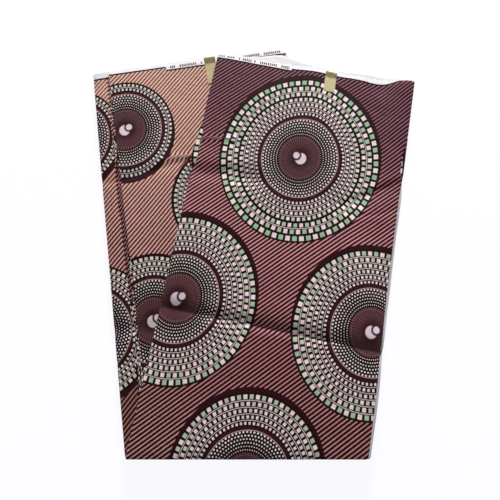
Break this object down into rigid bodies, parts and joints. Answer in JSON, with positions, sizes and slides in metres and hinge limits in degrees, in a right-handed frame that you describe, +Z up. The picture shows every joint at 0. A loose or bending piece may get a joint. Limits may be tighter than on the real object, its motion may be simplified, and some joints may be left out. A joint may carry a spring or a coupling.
{
  "type": "pair of folded lengths of african wax print fabric",
  "caption": "Folded lengths of wax print cotton fanned out flat, one laid across the other, with unprinted selvedges and tape over their ends.",
  "frame": {"origin": "on the surface the cloth lies on, below the middle of both bundles together", "axes": "+Z up from the surface, +Y towards the selvedge ends, +X towards the side the upper bundle leans to"},
  "size_m": [0.4856, 0.604, 0.0259],
  "materials": {
    "salmon_print": "waxed printed cotton, soft sheen",
    "maroon_print": "waxed printed cotton, soft sheen",
    "folded_print": "waxed printed cotton, folded edges",
    "bare_cotton": "unprinted cotton selvedge",
    "gold_tape": "clear gold tape"
  },
  "bodies": {
    "root": {"left_hidden_layers": "folded_print", "left_second_leaf": "salmon_print", "left_edge_folds": "folded_print", "left_second_selvedge": "bare_cotton", "left_top_leaf": "salmon_print", "left_top_selvedge": "bare_cotton", "left_tape": "gold_tape", "right_hidden_layers": "folded_print", "right_second_selvedge": "bare_cotton", "right_top_leaf": "maroon_print", "right_top_selvedge": "bare_cotton", "right_tape": "gold_tape"}
  },
  "joints": []
}
